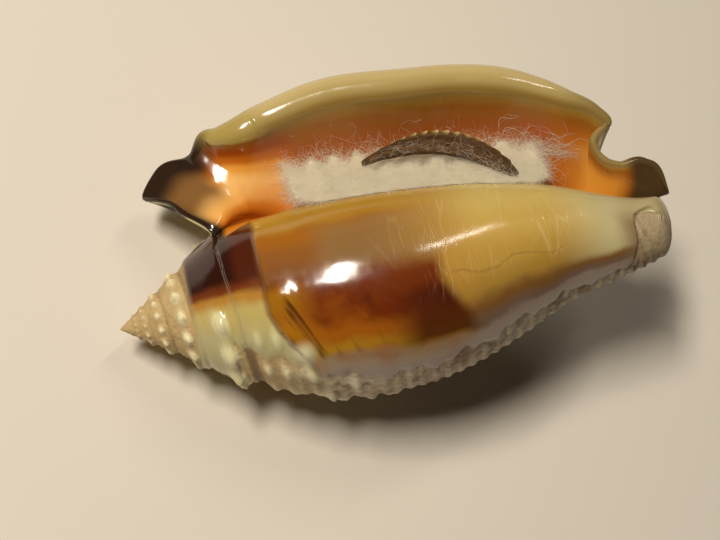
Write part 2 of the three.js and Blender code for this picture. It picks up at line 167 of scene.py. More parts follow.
# operculum: millimetres, and points along and across the blade
SICKLE = {
    "length": 19, "bow": 3.5, "wide": 3.1, "thick": 0.675, "round": 0.12, "teeth": 13, "tooth": 0.5,
    "grid": (145, 15),
}
SICKLE_AT = Vector((42.8, 10.8, 7.1))
SICKLE_TURN = Euler((math.radians(-4), math.radians(2), math.radians(-17)), "XYZ")
HORN_LIGHT, HORN_EDGE = (0.11, 0.052, 0.015), (0.17, 0.085, 0.022)
DUST, TOOTH = (0.30, 0.18, 0.07), (0.62, 0.48, 0.18)

# stage: the camera's target is in the shell's frame, its distance and the lamps in metres; shifts are shares
TABLE_SIZE = 3
VIEW = {
    "target": (36.0, 3.0, 0.0), "rise": 60, "swing": -13.5, "distance": 0.2, "lens": 80, "sensor": 36,
    "shift": (-42 / 720, -21 / 720),
}
LIT_PLACE = Vector((0, 0, 0.01))
LAMP_COLOUR = (1.0, 0.92, 0.80)
LAMPS = (
    ("lamp", (-0.23, 0.09, 0.42), (0.15, 0.06), 2.15, 0),
    ("second lamp", (0.10, 0.205, 0.45), (0.22, 0.022), 0.34, 52),
)


def along(rows, place):
    """Smooth curve through rows of (place, value, ...) at an array of places."""
    rows = np.asarray(rows, float)
    key, value = rows[:, 0], rows[:, 1:]
    step = np.diff(key)[:, None]
    slope = np.diff(value, axis=0) / step
    inner = (slope[:-1] * step[1:] + slope[1:] * step[:-1]) / (step[:-1] + step[1:])
    tangent = np.vstack([slope[:1], inner, slope[-1:]])
    x = np.clip(np.asarray(place, float), key[0], key[-1])
    i = np.clip(np.searchsorted(key, x, side="right") - 1, 0, len(key) - 2)
    w = key[i + 1] - key[i]
    t = ((x - key[i]) / w)[..., None]
    w = w[..., None]
    y = (
        value[i] * (1 + 2 * t) * (1 - t) ** 2 + tangent[i] * w * t * (1 - t) ** 2
        + value[i + 1] * t * t * (3 - 2 * t) + tangent[i + 1] * w * t * t * (t - 1)
    )
    return y[..., 0] if y.shape[-1] == 1 else y


def ramp(x, low, high):
    """Rises smoothly from 0 at low to 1 at high."""
    t = np.clip((np.asarray(x, float) - low) / (high - low), 0, 1)
    return t * t * (3 - 2 * t)


def bump(x, middle, width):
    """1 at the middle, falling away on both sides."""
    return np.exp(-(((x - middle) / width) ** 2))


def ripple(x, y, z, scale):
    """A cheap smooth irregular field between about -1 and 1, the same on every run."""
    x, y, z = x * scale, y * scale, z * scale
    return (
        np.sin(1.7 * x + 2.1 * np.sin(0.9 * y + 0.4)) + np.sin(1.9 * y + 1.7 * np.sin(1.1 * z + 1.3))
        + np.sin(2.1 * z + 1.9 * np.sin(1.3 * x + 2.2))
    ) / 3


def radius(a, angle):
    """Radius of the whorl's smooth outside at station a and an angle round the axis."""
    widen = WHORL_WIDEN * ramp(a, 11, 22)
    return along(RADIUS, a) * np.exp(widen * (angle - math.radians(210)) / (2 * np.pi))


def columella(a, angle):
    """Radius of the aperture's inner wall, one turn further in."""
    cut = along(COLUMELLA_CUT, a) * (1 - ramp(angle, math.radians(365), math.radians(440)))
    return radius(a, angle - 2 * np.pi) * (1 - cut)


def glaze(a, angle):
    """1 where the callus covers the whorl, 0 outside its wavy edge."""
    wavy = 0.05 * np.sin(0.9 * a) + 0.03 * np.sin(2.3 * a + 1)
    return ramp(np.radians(along(GLAZE_EDGE, a)) + wavy - angle, -0.02, 0.08) * ramp(a, 8.6, 9.4)


def whorl_of(a, angle):
    """Whole numbers are sutures, 0 the last one, negative up the spire."""
    return (np.log(np.maximum(a, 0.05) / LAST_SUTURE) - WHORL_RISE * angle / (2 * np.pi)) / WHORL_RISE


def sculpture(a, angle, cord_height):
    """Nodules, sutures, knobs, beads and fine spiral cords, as height over the smooth whorl."""
    whorl = whorl_of(a, angle)
    down = whorl - np.floor(whorl)
    grown = angle + 2 * np.pi * np.floor(whorl)
    wave = (1 + np.cos(NODULES * grown)) / 2
    size = np.minimum(a, 20)
    suture = -0.028 * size * (bump(down, 0, 0.09) + np.where(whorl > 0, 0, bump(down, 1, 0.07)))
    spire = suture + size * bump(down, 0.6, 0.15) * (0.02 + 0.1 * wave ** 1.6)
    threads = (0.5 + 0.5 * np.cos(2 * np.pi * SPIRE_THREADS * down)) * ramp(down, 0.05, 0.2)
    spire = spire + 0.011 * size * threads * (0.6 + 0.4 * np.cos(3 * NODULES * grown))
    back = ramp(angle, math.radians(150), math.radians(285))
    early = 1 - ramp(angle, math.radians(205), math.radians(235))
    slow = ((1 + np.cos(KNOBS * (angle - math.radians(270)))) / 2) ** 1.6
    knob = (
        (0.8 + (KNOB - 0.8) * bump(angle, math.radians(290), math.radians(42)))
        * bump(whorl, 0.8 + 0.5 * back, 0.14 - 0.03 * back)
        * (slow * (1 - early) + wave ** 1.5 * early)
    )
    second = (0.5 + 0.5 * back) * bump(whorl, 1.2 + 0.32 * back, 0.075) * wave ** 1.3
    third = (0.35 + 0.35 * back) * bump(whorl, 1.42 + 0.31 * back, 0.06) * wave ** 1.2
    low = LAST_SUTURE * np.exp(WHORL_RISE * angle / (2 * np.pi))
    share = (a - low) / (LENGTH - low)
    cords = (0.5 + 0.5 * np.cos(2 * np.pi * CORDS * share)) ** 1.2
    beads = 0.7 + 0.3 * np.cos(64 * angle + 2 * np.sin(3 * a))
    cords = cord_height * cords * beads * ramp(share, 0.03, 0.1) * (1 - ramp(share, 0.93, 1))
    cords = cords * (1 + 0.6 * bump(angle, math.radians(190), 0.4))
    folds = 0.55 * (bump(whorl, 0.22, 0.08) + bump(whorl, 0.5, 0.08)) * wave ** 1.3
    folds = folds * ramp(angle, math.radians(118), math.radians(150)) * early * (1 - ramp(a, 22, 26))
    body = knob + second + third + folds + np.where(whorl < 0.5, suture, 0) + cords
    return np.where(whorl > 0, body, spire)


def place_round(a, r, angle):
    """Places at radius r and an angle round the axis."""
    return np.stack([a + 0 * r, along(DRIFT, a) + r * np.cos(angle), r * np.sin(angle)], -1)


def unit(v):
    return v / (np.linalg.norm(v, axis=-1, keepdims=True) + 1e-9)


def lip_line(a, v):
    """Points and their direction toward the rim over the lip's middle surface, a and v broadcast together."""
    start = np.radians(along(LIP_START, a))
    slope = np.radians(along(RIM_SLOPE, a))
    rim = along(RIM, a)
    root = place_round(a, radius(a, start) - along(LIP_THICK, a) / 2, start)
    span = np.linalg.norm(rim - root, axis=-1, keepdims=True)
    one = root + 0.36 * span * np.stack([0 * a, -np.sin(start), np.cos(start)], -1)
    one[..., 0] += (rim[..., 0] - a) * 0.7 * ramp(a, 56, 59.5) - 1.3 * bump(a, 60.1, 0.9)
    plain = (1 - ramp(a, 16, 19.5) * (1 - ramp(a, 57, 59.5) * (1 - ramp(a, 63, 66))))[..., None]
    rise = np.stack([0 * a, np.cos(slope), np.sin(slope)], -1)
    two = rim - 0.3 * span * (rise + (unit(rim - root) - rise) * plain)
    two[..., 0] -= bump(a, 60.1, 0.9)
    v = v[..., None]
    at = root * (1 - v) ** 3 + 3 * one * v * (1 - v) ** 2 + 3 * two * v * v * (1 - v) + rim * v ** 3
    run = (one - root) * (1 - v) ** 2 + 2 * (two - one) * v * (1 - v) + (rim - two) * v * v
    return at, run


def lip(a, v):
    """Point, outward normal, direction out of the rim and half thickness of the lip."""
    at, run = lip_line(a, v)
    high, low = np.minimum(a + 0.35, LENGTH), np.maximum(a - 0.35, ATTACH)
    length = lip_line(high, v)[0] - lip_line(low, v)[0]
    normal = unit(np.cross(unit(run), length))
    out = unit(np.cross(length, normal))
    out = out * np.where(np.sum(out * run, -1, keepdims=True) < 0, -1, 1)
    thick = along(LIP_THICK, a) + (along(RIM_THICK, a) - along(LIP_THICK, a)) * v ** 1.6
    return at, normal, out, thick[..., None] / 2


def closing(loops, open_by):
    """Brings each point of the loops toward its partner across the loop."""
    count = loops.shape[1]
    middle = (loops + loops[:, (-np.arange(count)) % count]) / 2
    return middle + (loops - middle) * open_by[:, None, None]


def shell_loops(a, outside, floor, leaf, cap, cord_height):
    """Closed sections of the shell at stations a, with the values its material reads."""
    a = np.asarray(a, float)
    inside = outside - floor - 1
    A = a[:, None]
    start = np.radians(along(LIP_START, A))
    total = outside + 2 * leaf + 1 + cap + floor + inside
    even = 1 - ramp(A, 5, 12.5)
    turn = start + (CREST + 2 * np.pi * (outside - 1) / total - start) * even
    crowd = 0.84 + 0.16 * even
    angle = CREST + (turn - CREST) * np.linspace(0, 1, outside) ** crowd
    g = np.maximum(glaze(A, angle), glaze(A, angle - 2 * np.pi) * (1 - ramp(A, 12.8, 13.5)))
    through = 0.85 * ramp(angle, math.radians(104), math.radians(126)) * (1 - ramp(A, 18, 24))
    relief = sculpture(A, angle, cord_height) * (1 - g * (1 - through))
    relief = relief * (1 - ramp(angle, math.radians(325), math.radians(350)) * ramp(A, 12.5, 13.2))
    white_knob = 0.6 * bump(A, WHITE_KNOB["station"], 0.9)
    white_knob = white_knob * bump(angle, math.radians(WHITE_KNOB["turned"]), math.radians(5))
    body = place_round(A, radius(A, angle) + relief + CALLUS * g + white_knob, angle)
    thick, outer = along(LIP_THICK, A), radius(A, start)
    v = np.linspace(0, 1, leaf + 1)[None, :] + 0 * A
    at, normal, out, half = lip(A + 0 * v, v)
    fade = ((1 - v) ** 3)[..., None]
    upper = at + normal * half + (body[:, -1:] - (at + normal * half)[:, :1]) * fade
    under = at - normal * half
    under = under + (place_round(A, outer - thick, start) - under[:, :1]) * fade
    bend = (np.pi / 2 - np.pi * np.arange(1, cap + 1) / (cap + 1))[None, :, None]
    edge = at[:, -1:] + (normal[:, -1:] * np.sin(bend) + out[:, -1:] * np.cos(bend)) * half[:, -1:]
    wall_angle = start + (CREST + 2 * np.pi - start) * np.arange(inside)[None, :] / inside
    wall_r = columella(A, wall_angle)
    gap = outer - thick - wall_r[:, :1]
    t = (np.pi * np.arange(1, floor + 1) / (floor + 1))[None, :]
    floor_r = (outer - thick + wall_r[:, :1]) / 2 + gap / 2 * np.cos(t)
    floor_at = place_round(A, floor_r, start - np.sin(t) * np.minimum(gap / 2, 2.5) / np.maximum(floor_r, 1))
    wall = place_round(A, wall_r + CALLUS * glaze(A, wall_angle - 2 * np.pi), wall_angle)
    rest = np.concatenate([upper[:, 1:], edge, under[:, ::-1], floor_at, wall], 1)
    w = (np.arange(1, rest.shape[1] + 1) / (rest.shape[1] + 1))[None, :]
    tail = turn + (CREST + 2 * np.pi - turn) * w
    tail_g = glaze(A, tail - 2 * np.pi)
    tail_relief = sculpture(A, tail, cord_height) * (1 - tail_g)
    tail_r = radius(A, tail) * (1 - w) + radius(A, tail - 2 * np.pi) * w + tail_relief + CALLUS * tail_g
    opened = ramp(A, ATTACH - 0.3, ATTACH + 0.5)
    closed = place_round(A, tail_r, tail)
    loops = np.concatenate([body, closed + (rest - closed) * opened[..., None]], 1)
    half_way = np.minimum(np.arange(total), total - np.arange(total)) / (total / 2)
    loops[..., 0] -= along(END_CUT, half_way)[None, :] * ramp(A, 58, LENGTH)
    near = np.clip((a - LENGTH + 1.6) / 1.6, 0, 1)
    loops = closing(loops, np.sqrt(1 - near ** 2))

    def parts(on_body, on_upper, on_edge, on_under, on_floor, on_wall, on_spire):
        """One field over all the stretches of a section, from the body round the lip to its wall."""
        opened_part = np.concatenate([x + 0 * A for x in (on_upper, on_edge, on_under, on_floor, on_wall)], 1)
        return np.concatenate([on_body + 0 * angle, on_spire + (opened_part - on_spire) * opened], 1)

    def even_row(value, count):
        return np.full((1, count), float(value))

    counts = (leaf, cap, leaf + 1, floor, inside)
    edge_turn, under_turn, floor_turn = even_row(360, cap), even_row(0, leaf + 1), even_row(0, floor)
    down = np.concatenate([whorl_of(A, angle), whorl_of(A, tail)], 1)
    values = {
        "station": A + even_row(0, total),
        "glazed": parts(g, ramp(v[:, 1:], 0.8, 1), *(even_row(1, n) for n in counts[1:]), tail_g),
        "turned": parts(
            np.degrees(angle), even_row(360, leaf), edge_turn, under_turn, floor_turn,
            np.degrees(wall_angle) - 360, np.degrees(tail) - 360,
        ),
        "lipward": parts(
            0, v[:, 1:], even_row(1, cap), v[:, ::-1], even_row(0, floor), even_row(0, inside), 0,
        ),
        "inner": parts(
            0, ramp(v[:, 1:], 0.97, 1.2), np.linspace(0.1, 1, cap)[None], even_row(1, leaf + 1),
            even_row(1, floor), 1 - ramp(np.linspace(0, 1, inside)[None], 0.25, 0.6), 0,
        ),
        "height": parts(relief, *(even_row(0, n) for n in counts), tail_relief),
        "down": down - np.floor(down),
    }
    return loops, values


def lying(points):
    """From the shell's frame in millimetres to the table's in metres."""
    pitch, roll = math.radians(REST_PITCH), math.radians(REST_ROLL)
    turn = np.array(Matrix.Rotation(-pitch, 3, "Y") @ Matrix.Rotation(roll, 3, "X"))
    return (points @ turn.T + APEX) / 1000


def spaced(knots, count):
    """Stations at even steps of the first column of knots."""
    knots = np.array(knots, float)
    return np.interp(np.linspace(0, 1, count), knots[:, 0], knots[:, 1])


def only(piece):
    bpy.ops.object.select_all(action="DESELECT")
    piece.select_set(True)
    bpy.context.view_layer.objects.active = piece


def face_outward(piece, weld=True):
    """Turns the faces outward, after welding points that lie together."""
    only(piece)
    bpy.ops.object.mode_set(mode="EDIT")
    bpy.ops.mesh.select_all(action="SELECT")
    if weld:
        bpy.ops.mesh.remove_doubles(threshold=WELD)
    bpy.ops.mesh.normals_make_consistent(inside=False)
    bpy.ops.object.mode_set(mode="OBJECT")


def set_fields(mesh, values):
    """Float attributes that the materials read."""
    for key, value in values.items():
        layer = mesh.attributes.new(key, "FLOAT", "POINT")
        layer.data.foreach_set("value", np.asarray(value, np.float32).ravel())


def new_piece(name, vertices, faces, values=None, weld=True):
    """A smooth mesh object from points in metres and their faces."""
    mesh = bpy.data.meshes.new(name)
    mesh.from_pydata(np.asarray(vertices).tolist(), [], faces)
    set_fields(mesh, values or {})
    piece = bpy.data.objects.new(name, mesh)
    bpy.context.collection.objects.link(piece)
    face_outward(piece, weld)
    bpy.ops.object.shade_smooth()
    return piece


def grid_faces(rows, columns):
    """Quads between closed loops of points."""
    i, j = np.meshgrid(np.arange(rows - 1), np.arange(columns), indexing="ij")
    k = (j + 1) % columns
    quads = [i * columns + j, (i + 1) * columns + j, (i + 1) * columns + k, i * columns + k]
    return np.stack(quads, -1).reshape(-1, 4).tolist()


def dress(piece, node, material):
    """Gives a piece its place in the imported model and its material."""
    piece.data.materials.clear()
    piece.data.materials.append(material)
    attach(piece, "root")
    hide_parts(node)


class Paint:
    """Short words for the nodes of one material or node group."""

    def __init__(self, tree):
        self.tree = tree

    def node(self, kind, **inputs):
        made = self.tree.nodes.new(kind)
        for key, value in inputs.items():
            self.put(made.inputs[key.replace("_", " ")], value)
        return made

    def put(self, socket, value):
        """Links a socket to another, or sets its value or plain colour."""
        if isinstance(value, bpy.types.NodeSocket):
            self.tree.links.new(value, socket)
        elif socket.type == "RGBA":
            socket.default_value = (*value[:3], 1)
        else:
            socket.default_value = value

    def value(self, name):
        made = self.tree.nodes.new("ShaderNodeAttribute")
        made.attribute_name = name
        return made.outputs["Fac"]

    def place(self, stretch=None):
        """Places on the object, stretched by a factor along each axis where one is given."""
        where = self.tree.nodes.new("ShaderNodeTexCoord").outputs["Object"]
        if stretch is None:
            return where
        made = self.tree.nodes.new("ShaderNodeMapping")
        made.inputs["Scale"].default_value = stretch
        self.tree.links.new(where, made.inputs["Vector"])
        return made.outputs["Vector"]

    def spot(self, x, y):
        """A flat place made of two values."""
        made = self.node("ShaderNodeCombineXYZ", X=x, Y=y)
        return made.outputs["Vector"]

    def noise(self, scale, detail=3.0, rough=0.55, distort=0.0, where=None):
        fields = {"Scale": scale, "Detail": detail, "Roughness": rough, "Distortion": distort}
        made = self.node("ShaderNodeTexNoise", **fields)
        self.tree.links.new(where or self.place(), made.inputs["Vector"])
        return made.outputs["Fac"]

    def cracks(self, scale, width, where):
        """Thin lines between the cells of a net."""
        made = self.node("ShaderNodeTexVoronoi", Scale=scale)
        made.feature = "DISTANCE_TO_EDGE"
        self.tree.links.new(where, made.inputs["Vector"])
        return self.range(made.outputs["Distance"], 0, width, 1, 0)

    def range(self, value, low, high, to_low=0.0, to_high=1.0, smooth=True):
        """Brings low..high of a value to to_low..to_high and holds it there outside."""
        made = self.tree.nodes.new("ShaderNodeMapRange")
        made.interpolation_type = "SMOOTHSTEP" if smooth else "LINEAR"
        rows = {"Value": value, "From Min": low, "From Max": high, "To Min": to_low, "To Max": to_high}
        for key, x in rows.items():
            self.put(made.inputs[key], x)
        return made.outputs["Result"]

    def math(self, what, a, b=0.0):
        made = self.tree.nodes.new("ShaderNodeMath")
        made.operation = what
        self.put(made.inputs[0], a)
        self.put(made.inputs[1], b)
        return made.outputs[0]

    def plus(self, a, b):
        return self.math("ADD", a, b)

    def less(self, a, b):
        return self.math("SUBTRACT", a, b)

    def most(self, a, b):
        return self.math("MAXIMUM", a, b)

    def both(self, first, *others):
        """The product of masks and amounts: where all of them are."""
        for other in others:
            first = self.math("MULTIPLY", first, other)
        return first

    def mix(self, share, a, b):
        """Colour a, or colour b where the share is 1."""
        made = self.tree.nodes.new("ShaderNodeMix")
        made.data_type = "RGBA"
        self.put(made.inputs[0], share)
        self.put(made.inputs[6], a)
        self.put(made.inputs[7], b)
        return made.outputs[2]

    def over(self, ground, colour, *masks):
        """The ground with a colour laid on it where all the masks are."""
        return self.mix(self.both(*masks), ground, colour)

    def blend(self, share, a, b):
        """Value a, or value b where the share is 1."""
        made = self.tree.nodes.new("ShaderNodeMix")
        self.put(made.inputs[0], share)
        self.put(made.inputs[2], a)
        self.put(made.inputs[3], b)
        return made.outputs[0]

    def stops(self, value, rows):
        """Colours at places given in the value's own unit."""
        low, high = rows[0][0], rows[-1][0]
        made = self.tree.nodes.new("ShaderNodeValToRGB")
        line = made.color_ramp
        line.interpolation = "EASE"
        while len(line.elements) < len(rows):
            line.elements.new(0.5)
        for element, (at, colour) in zip(line.elements, rows):
            element.position, element.color = (at - low) / (high - low), (*colour, 1)
        self.put(made.inputs["Fac"], self.range(value, low, high, smooth=False))
        return made.outputs["Color"]

    def raised(self, height, depth, strength):
        made = self.node("ShaderNodeBump", Strength=strength, Distance=depth, Height=height)
        return made.outputs["Normal"]


def mottle_group():
    """Blotches in two sizes, put out as one mask."""
    group = bpy.data.node_groups.get("Mottle") or bpy.data.node_groups.new("Mottle", "ShaderNodeTree")
    if group.nodes:
        return group
    for name, value in (("Size", 300.0), ("Amount", 0.5), ("Edge", 0.08)):
        group.interface.new_socket(name, in_out="INPUT", socket_type="NodeSocketFloat").default_value = value
    group.interface.new_socket("Mask", in_out="OUTPUT", socket_type="NodeSocketFloat")
    paint = Paint(group)
    given = group.nodes.new("NodeGroupInput")
    put_out = group.nodes.new("NodeGroupOutput")
    size, amount, edge = given.outputs["Size"], given.outputs["Amount"], given.outputs["Edge"]
    large = paint.noise(size, detail=4, distort=0.6)
    small = paint.noise(paint.both(size, 3.1), detail=2)
    field = paint.plus(paint.both(large, 0.7), paint.both(small, 0.3))
    middle = paint.less(1.0, amount)
    mask = paint.range(field, paint.less(middle, edge), paint.plus(middle, edge))
    group.links.new(mask, put_out.inputs["Mask"])
    return group


def mottle(paint, size, amount, edge):
    made = paint.tree.nodes.new("ShaderNodeGroup")
    made.node_tree = mottle_group()
    for key, x in (("Size", size), ("Amount", amount), ("Edge", edge)):
        made.inputs[key].default_value = x
    return made.outputs["Mask"]


def new_material(name):
    material = bpy.data.materials.new(name)
    material.use_nodes = True
    return material, Paint(material.node_tree), material.node_tree.nodes["Principled BSDF"]


def shell_places(paint):
    """The shell's fields, uneven ones for its colours' borders, and masks along, round and up the lip."""
    names = ("station", "turned", "glazed", "inner", "lipward", "height", "down")
    at = SimpleNamespace(**{name: paint.value(name) for name in names})
    at.wobble = paint.less(paint.noise(110, 2), 0.5)
    at.jitter = paint.less(paint.noise(230, 3), 0.5)
    at.far = paint.plus(at.station, paint.both(at.wobble, 2.4))
    at.low = paint.plus(paint.plus(at.turned, paint.both(at.wobble, 9.0)), paint.both(at.jitter, 10.0))
    at.into = paint.plus(at.lipward, paint.both(at.jitter, 0.05))
    at.along, at.round, at.up = (partial(paint.range, field) for field in (at.far, at.low, at.into))
    at.blotch = mottle(paint, 260, 0.46, 0.07)
    at.freckle = mottle(paint, 900, 0.42, 0.1)
    at.edge = paint.less(paint.plus(at.station, at.wobble), at.round(126, 172, 0, 4.5))
    at.flare = paint.range(at.station, 65.4, 67.2)
    return at


def back_colour(paint, at, look):
    """Rough back and spire: blotches and flecks, pale on nodules and cords, dark in the grooves."""
    back = paint.mix(at.blotch, look.back_light, look.back_brown)
    back = paint.over(back, BACK_FLECK, at.freckle, 0.55)
    back = paint.over(back, BACK_CORD, paint.range(at.height, 0.14, 0.7), 0.8)
    back = paint.over(back, BACK_GROOVE, paint.range(at.height, -0.1, 0.12, 1, 0), 0.5)
    spire = paint.mix(paint.range(at.height, 0.02, 0.55), SPIRE_GROUND, SPIRE_NODULE)
    spire = paint.over(spire, SPIRE_FLECK, at.freckle, 0.45)
    spire = paint.over(spire, SPIRE_SUTURE, paint.range(at.height, 0.0, -0.3), 0.75)
    back = paint.mix(paint.range(at.station, 27, 17), back, spire)
    end = paint.mix(paint.both(at.freckle, 0.7), FRONT_END, FRONT_END_FLECK)
    return paint.over(back, end, paint.range(at.station, 64.0, 66.0), 0.9)


def early_colour(paint, at):
    """Thin glaze before the callus: dark over the spire's foot, cream over its nodules."""
    early = paint.stops(at.low, EARLY_STOPS)
    early = paint.over(early, EARLY_RED, at.along(14.0, 15.6), at.round(108, 98), 0.85)
    on_nodule = paint.range(at.height, 0.05, 0.5)
    early = paint.over(early, GLAZED_NODULE, on_nodule, at.round(112, 122), 0.8)
    groove = paint.most(paint.range(at.down, 0.045, 0.0), paint.range(at.down, 0.955, 1.0))
    return paint.over(early, GLAZED_SUTURE, groove, at.round(62, 76), 0.55)


def middle_colour(paint, at):
    """Thick callus: olive at the aperture, brown, dark red-brown, golden, then a thin grey edge."""
    middle = paint.stops(at.low, MIDDLE_STOPS)
    upper = paint.both(at.round(72, 82), at.round(112, 102))
    middle = paint.over(middle, MIST, upper, at.along(23, 27), 0.6)
    middle = paint.over(middle, GOLDEN, at.along(24.5, 20.5), at.round(109, 118), 0.85)
    middle = paint.over(middle, EMBER, at.round(112, 126), paint.range(at.jitter, -0.05, 0.2), 0.45)
    slant = paint.less(at.station, paint.both(at.turned, 0.097))
    streak = paint.noise(0.85, 3, 0.5, where=paint.spot(slant, paint.both(at.low, 0.022)))
    band = paint.both(at.round(114, 126), at.round(161, 154))
    stretch = paint.both(at.along(19.4, 20.6), at.along(32, 27))
    middle = paint.over(middle, STREAK, paint.range(streak, 0.50, 0.68), band, stretch, 0.8)
    band = paint.both(at.round(118, 130), at.round(160, 153))
    return paint.over(middle, DEEPEST, at.along(30, 35.5), band, 0.9)


def cream_colour(paint, at):
    """Cream end of the callus, darker along its lower edge and toward the canal."""
    cream = paint.stops(at.low, CREAM_STOPS)
    cream = paint.over(cream, PALE_CREAM, at.along(52, 62), at.round(148, 138))
    cream = paint.over(cream, AMBER, at.along(46, 38), at.round(150, 140), 0.55)
    return paint.over(cream, CANAL_TAN, at.along(61.5, 66.5), at.round(84, 116, 0.3, 0.9))


def front_colour(paint, at):
    """The glaze over the shell's front with its step and the white knob, and the mask of its pale cracks."""
    high_border = at.along(30, 45)
    low_border = paint.range(paint.less(at.far, at.round(120, 150, 0, 2.6)), 37.4, 39.6)
    border = paint.blend(at.round(100, 117), high_border, low_border)
    front = paint.mix(border, middle_colour(paint, at), cream_colour(paint, at))
    front = paint.mix(paint.range(at.edge, 17.5, 18.2), early_colour(paint, at), front)
    on_step = paint.both(paint.range(at.edge, 17.2, 17.7), paint.range(at.edge, 18.4, 17.8))
    front = paint.over(front, STEP_LINE, on_step, 0.5)
    x = paint.less(at.station, WHITE_KNOB["station"])
    y = paint.both(paint.less(at.turned, WHITE_KNOB["turned"]), 0.17)
    from_knob = paint.math("SQRT", paint.plus(paint.both(x, x), paint.both(y, y)))
    front = paint.over(front, KNOB_WHITE, paint.range(from_knob, 1.9, 0.3), 0.9)

    # fine pale cracks that mostly run round the whorl, and a wavy darker one along it
    net = paint.spot(paint.both(at.far, 0.42), paint.both(at.low, 0.013))
    crackle = paint.most(paint.cracks(1.0, 0.035, net), paint.both(paint.cracks(2.3, 0.05, net), 0.45))
    patchy = paint.range(paint.noise(150, 3), 0.40, 0.60)
    crackle = paint.both(crackle, patchy, at.along(30, 38), at.round(138, 124))
    front = paint.over(front, PALE_CRACK, crackle, 0.26)
    wave = paint.plus(paint.both(paint.math("SINE", paint.both(at.station, 0.75)), 3.0), 125.0)
    on_wave = paint.range(paint.math("ABSOLUTE", paint.less(at.low, wave)), 1.3, 0.3)
    stretch = paint.both(at.along(38, 41), at.along(56, 52))
    return paint.over(front, DARK_CRACK, on_wave, stretch, 0.45), crackle


def inside_colour(paint, at):
    """Inside of the lip from its root to the rim: orange, brighter behind where light is painted into the
    colour, with a brown digit and canal.
    """
    # painted light: the hind part of the inside is coloured brighter, as if lit by the lamp
    hind_orange_and_painted_light = paint.stops(at.into, HIND_ORANGE_AND_PAINTED_LIGHT_STOPS)
    inside = paint.mix(at.along(27.5, 23.5), paint.stops(at.into, INSIDE_STOPS), hind_orange_and_painted_light)
    inside = paint.over(inside, DIGIT_FOOT, at.along(18.2, 16.4), at.up(0.24, 0.54))
    beside = paint.both(at.up(0.64, 0.86), paint.range(at.station, 18.4, 17.0))
    inside = paint.mix(paint.most(paint.range(at.station, 15.3, 14.3), beside), inside, DARK_BROWN)
    corner = paint.both(at.along(52, 56), at.along(61, 59))
    inside = paint.over(inside, CORNER_RED, corner, at.up(0.85, 0.7), 0.7)
    throat = paint.both(at.along(55.5, 61.8), at.along(66.6, 64.4))
    inside = paint.over(inside, THROAT, throat, at.up(0.9, 0.55), 0.9)
    return paint.mix(at.flare, inside, CANAL_BROWN)


def rim_colour(paint, at):
    """Rim of the lip, paler toward the outside, dark at the digit and the canal."""
    rim = paint.stops(at.inner, RIM_STOPS)
    rim = paint.mix(at.along(26, 19), rim, RIM_OLIVE)
    rim = paint.over(rim, RIM_BROWN, at.along(57, 60), 0.8)
    rim = paint.mix(paint.range(at.station, 18.6, 17.4), rim, DARK_BROWN)
    return paint.mix(at.flare, rim, CANAL_RIM)


def shell_material(look):
    """Rough mottled back and spire, glaze in brown, amber and cream, orange inside, brown digit and canal."""
    material, paint, shader = new_material("Conch glaze and back")
    at = shell_places(paint)
    outer_lip = paint.mix(paint.both(at.blotch, 0.6), LIP_BACK, LIP_BLOTCH)
    outer_lip = paint.mix(at.along(18, 15), outer_lip, DARK_BROWN)
    outside = paint.mix(paint.range(at.lipward, 0.02, 0.5), back_colour(paint, at, look), outer_lip)
    front, crackle = front_colour(paint, at)
    colour = paint.mix(at.glazed, outside, front)
    colour = paint.mix(paint.range(at.inner, 0.4, 0.6), colour, inside_colour(paint, at))
    on_rim = paint.range(at.lipward, 0.94, 1.0)
    paint.put(shader.inputs["Base Color"], paint.mix(on_rim, colour, rim_colour(paint, at)))

    shiny = paint.most(at.glazed, paint.most(paint.range(at.inner, 0.0, 0.6), on_rim))
    grain = paint.range(paint.noise(1500, 3), 0.3, 0.7, 0.5, 0.72)
    smear = paint.range(paint.noise(300, 4, 0.6), 0.3, 0.8, 0.11, 0.21)
    paint.put(shader.inputs["Roughness"], paint.blend(shiny, grain, smear))
    pitted = paint.plus(paint.noise(700, 6, 0.7), paint.both(at.blotch, 0.25))
    pitted = paint.both(pitted, paint.less(1.0, shiny))
    smooth = paint.less(paint.both(paint.noise(240, 2), 0.16), paint.both(crackle, at.glazed, 0.05))
    step = paint.both(paint.range(at.edge, 17.5, 18.3), at.glazed, 1.1)
    relief = paint.plus(paint.plus(pitted, paint.both(smooth, shiny)), step)
    paint.put(shader.inputs["Normal"], paint.raised(relief, 0.00028, 0.8))
    shader.inputs["IOR"].default_value = 1.55
    shader.inputs["Specular IOR Level"].default_value = 0.55
    return material


def cotton_material(look):
    """Matt white cotton wool that lets light in, with faint stains and a faint painted glow that lifts it out
    of shade.
    """
    material, paint, shader = new_material("Cotton wool")
    tufts = paint.noise(420, 5, 0.65, 0.4)
    shade = paint.mix(paint.range(tufts, 0.3, 0.7), look.cotton, COTTON_LIGHT)
    shade = paint.over(shade, COTTON_STAIN, paint.range(paint.noise(110, 2), 0.5, 0.75), 0.45)
    paint.put(shader.inputs["Base Color"], shade)
    paint.put(shader.inputs["Roughness"], paint.range(tufts, 0.2, 0.8, 0.85, 1.0))
    paint.put(shader.inputs["Normal"], paint.raised(paint.noise(2600, 5, 0.75, 0.8), 0.00015, 0.7))
    shader.inputs["Specular IOR Level"].default_value = 0.1
    shader.inputs["Subsurface Weight"].default_value = 0.5
    shader.inputs["Subsurface Radius"].default_value = (0.003, 0.0026, 0.002)
    # painted light: a faint glow in the cotton's own colour brightens it where it lies in shade
    paint.put(shader.inputs["Emission Color"], shade)
    shader.inputs["Emission Strength"].default_value = 0.07
    return material


